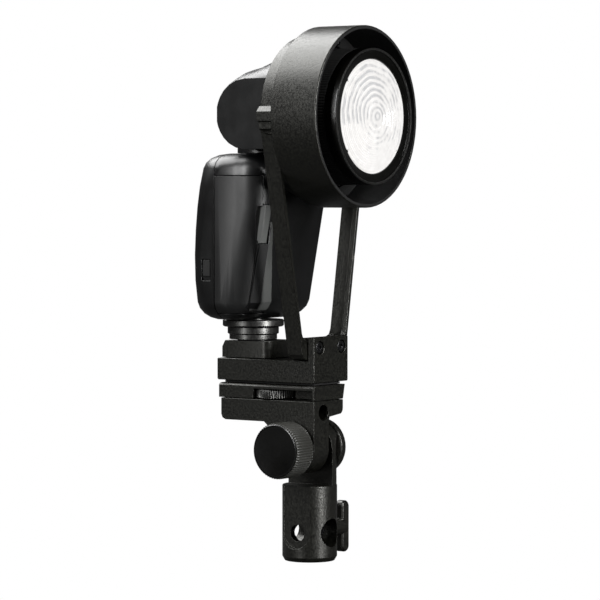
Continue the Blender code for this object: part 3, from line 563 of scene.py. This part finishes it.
def build_lamp_cover():
    """Wedge-shaped lamp cover: a thin shell with a crisp ridge between a dark and a light facet; the dark
    facet is painted shade, darker plastic on the faces turned to the left.
    """
    sections = [  # height, then left edge, ridge and right edge as (x, y)
        (139.4, (-27.0, 22.3), (-22.0, 20.8), (-13.5, 20.5)),
        (140.5, (-27.6, 21.3), (-22.8, 19.5), (-13.0, 19.3)),
        (144.0, (-28.8, 20.1), (-24.6, 16.0), (-12.1, 17.6)),
        (176.4, (-28.0, 13.7), (-24.5, 10.4), (-18.6, 12.1)),
        (176.4, (-22.9, 11.9), (-22.4, 11.5), (-18.6, 12.1)),
        (188.6, (-22.8, 10.4), (-21.4, 10.2), (-20.4, 10.1))]
    rings = []
    for low, high in zip(sections, sections[1:]):
        steps = 8 if high[0] - low[0] > 10 else 1
        for step in range(steps):
            part = step / steps
            z = low[0] + (high[0] - low[0]) * part
            rings.append([Vector((*a, z)).lerp(Vector((*b, z)), part) for a, b in zip(low[1:], high[1:])])
    rings.append([Vector((*point, sections[-1][0])) for point in sections[-1][1:]])
    wall = Vector((0, 0.3, 0))
    bm = skin(bmesh.new(), [ring + [point + wall for point in reversed(ring)] for ring in rings])
    cover = stand_in("focus_lamp_cover", bm, sharp=25, width=0.2)
    # painted shade: faces turned to the left take the darker plastic
    cover.data.materials.append(MATERIALS["battery_plastic"])
    for polygon in cover.data.polygons:
        if polygon.normal.x < -0.22:
            polygon.material_index = 1


def build_carried_over():
    """Every other CAD solid, with its edges rounded and its look finished."""
    for node in sorted(set(frame["nodes"]) - BUILT_APART):
        refined(node, EDGE_WIDTH.get(node, PLAIN_EDGE))


# ---- stage ----
def build_camera():
    """Long-lens camera in front and to the side, looking down by about two degrees."""
    ahead = Vector(VIEW_AHEAD).normalized()
    right = Vector(VIEW_RIGHT).normalized()
    up = right.cross(ahead).normalized()
    camera = bpy.data.cameras.new("camera")
    camera.lens = FOCAL_MM
    camera.sensor_width = SENSOR_MM
    camera.clip_end = 20.0
    viewer = bpy.data.objects.new("camera", camera)
    bpy.context.scene.collection.objects.link(viewer)
    turn = Matrix((right, up, -ahead)).transposed().to_4x4()
    viewer.matrix_world = Matrix.Translation(CAMERA_PLACE) @ turn
    bpy.context.scene.camera = viewer


def area_light(name, place_at, aim, size, power):
    """Rectangular soft light aimed at a point."""
    lamp = bpy.data.lights.new(name, "AREA")
    lamp.shape = "RECTANGLE"
    lamp.size, lamp.size_y = size
    lamp.energy = power
    holder = bpy.data.objects.new(name, lamp)
    holder.location = place_at
    holder.rotation_euler = (Vector(aim) - Vector(place_at)).to_track_quat("-Z", "Y").to_euler()
    bpy.context.scene.collection.objects.link(holder)


def build_lights():
    """Big box above and behind, a tall strip on either side of the camera, and a weak rim light."""
    for light in LIGHTS:
        area_light(*light)


def build_world():
    """Even white surround, dimmer as light than as seen."""
    world = bpy.data.worlds.new("surround")
    bpy.context.scene.world = world
    world.use_nodes = True
    tree = world.node_tree
    seen = tree.nodes["Background"]
    seen.inputs["Color"].default_value = (1, 1, 1, 1)
    seen.inputs["Strength"].default_value = 1.0
    fill = tree.nodes.new("ShaderNodeBackground")
    fill.inputs["Color"].default_value = (1, 1, 1, 1)
    fill.inputs["Strength"].default_value = FILL_STRENGTH
    mix = tree.nodes.new("ShaderNodeMixShader")
    path = tree.nodes.new("ShaderNodeLightPath")
    tree.links.new(path.outputs["Is Camera Ray"], mix.inputs["Fac"])
    tree.links.new(fill.outputs["Background"], mix.inputs[1])
    tree.links.new(seen.outputs["Background"], mix.inputs[2])
    tree.links.new(mix.outputs["Shader"], tree.nodes["World Output"].inputs["Surface"])


def build_floor():
    """Wide pale floor at the foot of the stand adapter, bright enough to melt into the surround."""
    mesh = bpy.data.meshes.new("floor")
    bm = bmesh.new()
    bmesh.ops.create_circle(bm, cap_ends=True, segments=96, radius=FLOOR_RADIUS)
    bm.to_mesh(mesh)
    bm.free()
    floor = bpy.data.objects.new("floor", mesh)
    floor.location.z = cad_box[0].z - FLOOR_DROP
    bpy.context.scene.collection.objects.link(floor)
    n = Nodes("pale_floor")
    tone = n.colour(n.noise(3.0, detail=3.0), (0.018, 0.018, 0.018), (0.024, 0.024, 0.024))
    path = n.tree.nodes.new("ShaderNodeLightPath")
    glow = n.tree.nodes.new("ShaderNodeEmission")
    glow.inputs["Strength"].default_value = 1.0
    mix = n.tree.nodes.new("ShaderNodeMixShader")
    n.link(path.outputs["Is Camera Ray"], mix.inputs["Fac"])
    n.link(n.shader.outputs["BSDF"], mix.inputs[1])
    n.link(glow.outputs["Emission"], mix.inputs[2])
    n.link(mix.outputs["Shader"], n.tree.nodes["Material Output"].inputs["Surface"])
    mesh.materials.append(n.finish(tone, Roughness=0.9))


build_tilt_knob()
build_thumb_wheel()
build_zoom_ring()
build_bezel()
build_front_lens()
build_front_ring()
build_body_left()
build_lamp_cover()
build_carried_over()
build_camera()
build_lights()
build_world()
build_floor()
bpy.context.scene.view_settings.view_transform = "Standard"

bpy.context.view_layer.update()
